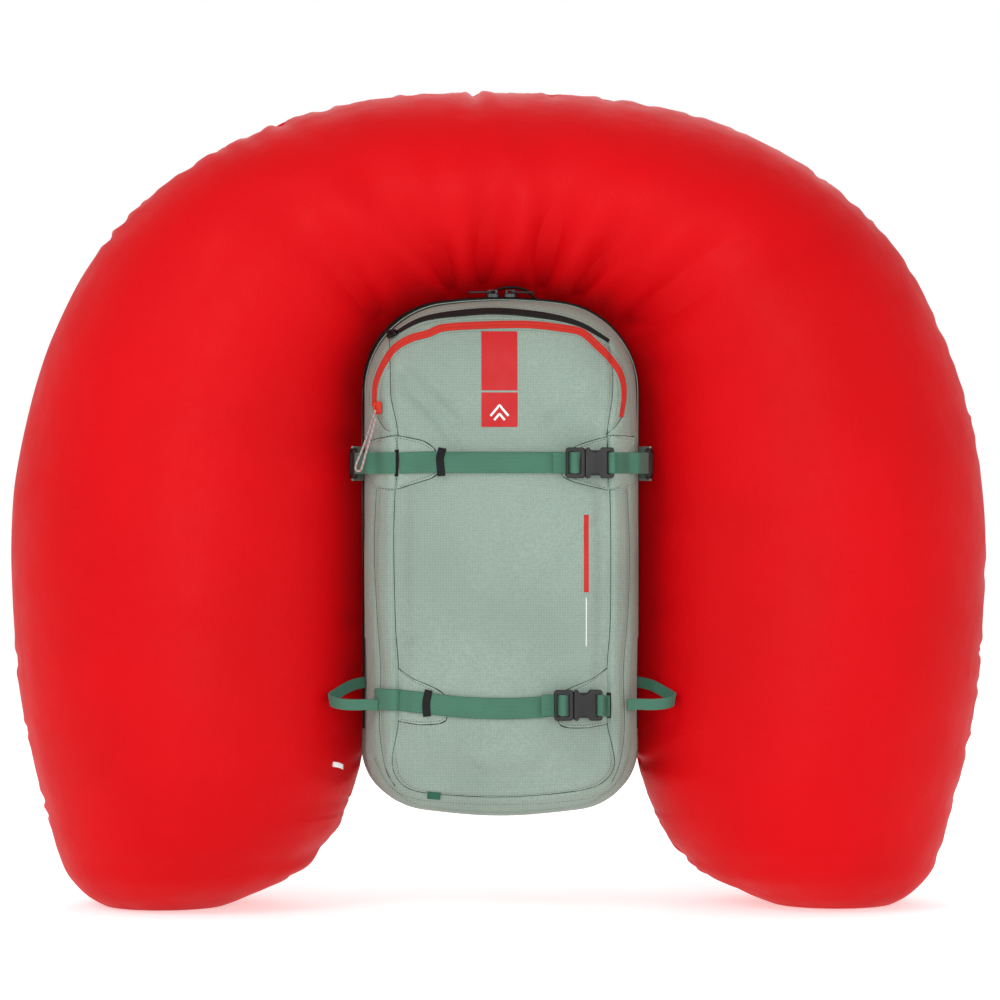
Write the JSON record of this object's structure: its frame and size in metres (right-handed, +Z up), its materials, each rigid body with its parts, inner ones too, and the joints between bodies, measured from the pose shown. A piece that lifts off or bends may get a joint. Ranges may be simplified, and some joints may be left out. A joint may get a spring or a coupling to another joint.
{
  "type": "avalanche airbag backpack",
  "caption": "Day-size winter backpack with its horseshoe airbag inflated, compression straps, zips, harness, trigger handle and gas inflator.",
  "frame": {"origin": "on the floor midway between the airbag's two feet, in the airbag's middle plane", "axes": "+X right when facing the pack's outer side, +Y towards the wearer, +Z up"},
  "size_m": [0.952, 0.342, 0.7929],
  "materials": {
    "shell_fabric": "ripstop pack fabric",
    "webbing_green": "woven webbing",
    "patch_green": "woven reinforcement",
    "airbag_fabric": "coated ripstop nylon",
    "zip_red": "coil zip tape",
    "zip_black": "coil zip tape",
    "plastic_black": "moulded, fine texture",
    "webbing_black": "woven webbing",
    "elastic_black": "woven elastic",
    "tab_green": "folded ribbon",
    "foam_black": "spacer mesh over foam",
    "metal_dark": "black coated",
    "pull_black": "moulded pull",
    "cord_grey": "braided cord with a red tracer",
    "aluminium": "brushed",
    "steel": "ground",
    "handle_red": "moulded grip"
  },
  "bodies": {
    "pack": {"airbag_compartment": "shell_fabric", "airbag_flange": "airbag_fabric", "airbag_inner": "airbag_fabric", "airbag_outer": "airbag_fabric", "anchor_patches": "patch_green", "back_panel": "foam_black", "black_zip_tapes": "zip_black", "bottom_boot": "shell_fabric", "bottom_tab": "tab_green", "buckle_lower_female": "plastic_black", "buckle_upper_female": "plastic_black", "cylinder_straps": "webbing_black", "frame_sheet": "plastic_black", "frame_stays": "aluminium", "front_gusset": "shell_fabric", "front_panel": "shell_fabric", "front_zip_tape": "zip_red", "gas_cylinder": "aluminium", "harness_webbing": "webbing_black", "haul_loop": "webbing_black", "hip_buckle_female": "plastic_black", "hip_wings": "foam_black", "lumbar_pad": "foam_black", "pressure_hose": "plastic_black", "rear_gusset": "shell_fabric", "shoulder_strap_left": "foam_black", "shoulder_strap_right": "foam_black", "side_buckles": "plastic_black", "side_loops": "webbing_green", "sternum_rails": "plastic_black", "strap_ends": "webbing_green", "strap_lower": "webbing_green", "strap_upper": "webbing_green", "striker_spring": "steel", "trigger_cable": "plastic_black", "trigger_socket": "plastic_black", "valve_head": "aluminium", "venturi": "plastic_black", "webbing_keepers": "elastic_black"},
    "front_slider": {"front_zip_slider": "metal_dark", "front_zip_cord": "cord_grey"},
    "tool_slider": {"tool_zip_slider": "metal_dark"},
    "main_slider_left": {"main_zip_slider_left": "metal_dark", "main_zip_pull_left": "pull_black"},
    "main_slider_right": {"main_zip_slider_right": "metal_dark", "main_zip_pull_right": "pull_black"},
    "upper_buckle_male": {"buckle_upper_male": "plastic_black", "buckle_upper_loop": "webbing_green"},
    "lower_buckle_male": {"buckle_lower_male": "plastic_black", "buckle_lower_loop": "webbing_green"},
    "sternum_strap": {"sternum_sliders": "plastic_black", "sternum_webbing": "webbing_black", "sternum_buckle_female": "plastic_black"},
    "sternum_male": {"sternum_buckle_male": "plastic_black", "sternum_buckle_loop": "webbing_black"},
    "hip_male": {"hip_buckle_male": "plastic_black", "hip_buckle_loop": "webbing_black"},
    "trigger": {"trigger_handle": "handle_red"},
    "striker_body": {"striker": "steel"},
    "flap": {"check_flap": "plastic_black"}
  },
  "joints": [
    {"name": "front_zip_slide", "type": "slide", "parent": "pack", "child": "front_slider", "axis": [-0.0621, 0.1486, 0.9869], "range_m": [0, 0.02]},
    {"name": "tool_zip_slide", "type": "slide", "parent": "pack", "child": "tool_slider", "axis": [0.8056, -0.4674, 0.3639], "range_m": [0, 0.01]},
    {"name": "main_zip_left", "type": "hinge", "parent": "pack", "child": "main_slider_left", "pos_m": [0, -0.075, 0.1545], "axis": [0, -1, 0], "range_deg": [0, 4.5]},
    {"name": "main_zip_right", "type": "hinge", "parent": "pack", "child": "main_slider_right", "pos_m": [0, -0.075, 0.1545], "axis": [0, 1, 0], "range_deg": [0, 4.5]},
    {"name": "upper_buckle_release", "type": "slide", "parent": "pack", "child": "upper_buckle_male", "axis": [-0.998, -0.0634, 0], "range_m": [0, 0.022]},
    {"name": "lower_buckle_release", "type": "slide", "parent": "pack", "child": "lower_buckle_male", "axis": [-0.9979, -0.0647, 0], "range_m": [0, 0.022]},
    {"name": "sternum_height", "type": "slide", "parent": "pack", "child": "sternum_strap", "axis": [0, 0, 1], "range_m": [-0.03, 0.045]},
    {"name": "sternum_release", "type": "slide", "parent": "sternum_strap", "child": "sternum_male", "axis": [-1, 0, 0], "range_m": [0, 0.022]},
    {"name": "hip_release", "type": "slide", "parent": "pack", "child": "hip_male", "axis": [-1, 0, 0], "range_m": [0, 0.034]},
    {"name": "trigger_pull", "type": "slide", "parent": "pack", "child": "trigger", "axis": [0, 0, -1], "range_m": [0, 0.06]},
    {"name": "striker_drive", "type": "slide", "parent": "pack", "child": "striker_body", "axis": [0, 0, -1], "range_m": [0, 0.006], "deforming": ["striker_spring"]},
    {"name": "check_flap_hinge", "type": "hinge", "parent": "pack", "child": "flap", "pos_m": [0.02, -0.021, 0.5183], "axis": [-1, 0, 0], "range_deg": [0, 50]}
  ],
  "couplings": [
    {"joint": "striker_drive", "follows": "trigger_pull", "ratio": 0.1}
  ]
}
